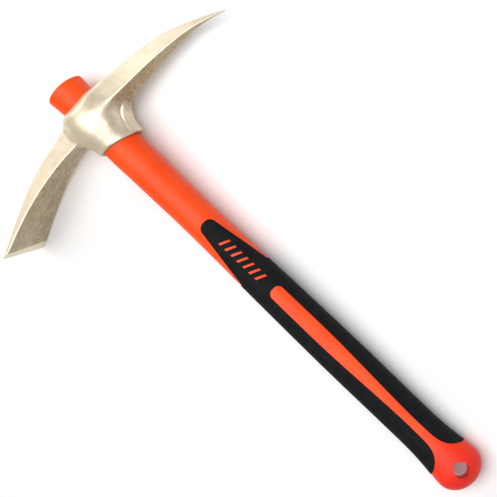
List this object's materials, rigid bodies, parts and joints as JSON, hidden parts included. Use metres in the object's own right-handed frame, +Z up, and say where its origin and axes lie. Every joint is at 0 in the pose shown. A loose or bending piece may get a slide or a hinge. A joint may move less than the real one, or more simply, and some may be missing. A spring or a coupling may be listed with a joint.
{
  "type": "pick and adze rock hammer",
  "caption": "Short-handled rock hammer: a forged head with a curved pick and a flared adze, on an orange handle with a black rubber grip and a hanging hole.",
  "frame": {"origin": "middle of the footprint, on the surface that the hammer lies on", "axes": "+X from the head to the butt, +Y towards the pick, +Z up from the surface that it lies on"},
  "size_m": [0.4986, 0.2996, 0.0712],
  "materials": {
    "forged_head": "blasted, satin champagne",
    "resin": "cured resin",
    "glass_fibre": "pultruded glass fibre",
    "orange_polymer": "satin moulded",
    "black_rubber": "matt moulded"
  },
  "bodies": {
    "root": {"pick_head": "forged_head", "eye_bond": "resin", "fibreglass_core": "glass_fibre", "handle_jacket": "orange_polymer", "rubber_grip": "black_rubber"}
  },
  "joints": []
}
